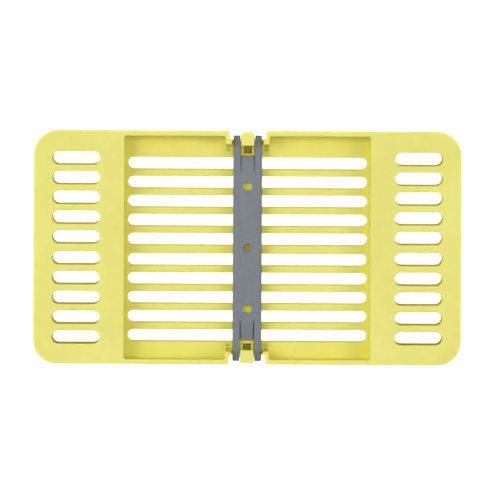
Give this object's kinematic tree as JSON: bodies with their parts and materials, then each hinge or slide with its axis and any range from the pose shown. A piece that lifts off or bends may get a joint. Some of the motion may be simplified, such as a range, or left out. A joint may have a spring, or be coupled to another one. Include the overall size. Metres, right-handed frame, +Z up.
{
  "type": "instrument cassette",
  "caption": "Slotted flat hinged case with raised wings, a sunken middle, soft instrument rails inside and a forked bar across the lid that snaps it shut.",
  "frame": {"origin": "centre of the footprint, on the plane that the closed cassette rests on", "axes": "+X along the long side, +Y from the latch side to the hinge side, +Z up out of the lid"},
  "size_m": [0.2, 0.1088, 0.032],
  "materials": {
    "yellow_plastic": "fine moulded texture, slightly mottled",
    "grey_plastic": "satin, faint flow marks",
    "grey_silicone": "soft, matte",
    "steel": "drawn wire"
  },
  "bodies": {
    "base": {"base_shell": "yellow_plastic", "hinge_pin": "steel", "latch_pin": "steel", "base_rail_left": "grey_silicone", "base_rail_right": "grey_silicone"},
    "lid": {"lid_shell": "yellow_plastic", "locking_bar": "grey_plastic", "lid_rail_left": "grey_silicone", "lid_rail_right": "grey_silicone"}
  },
  "joints": [
    {"name": "lid_hinge", "type": "hinge", "parent": "base", "child": "lid", "pos_m": [0, 0.0502, 0.0258], "axis": [-1, 0, 0], "range_deg": [0, 180]}
  ]
}
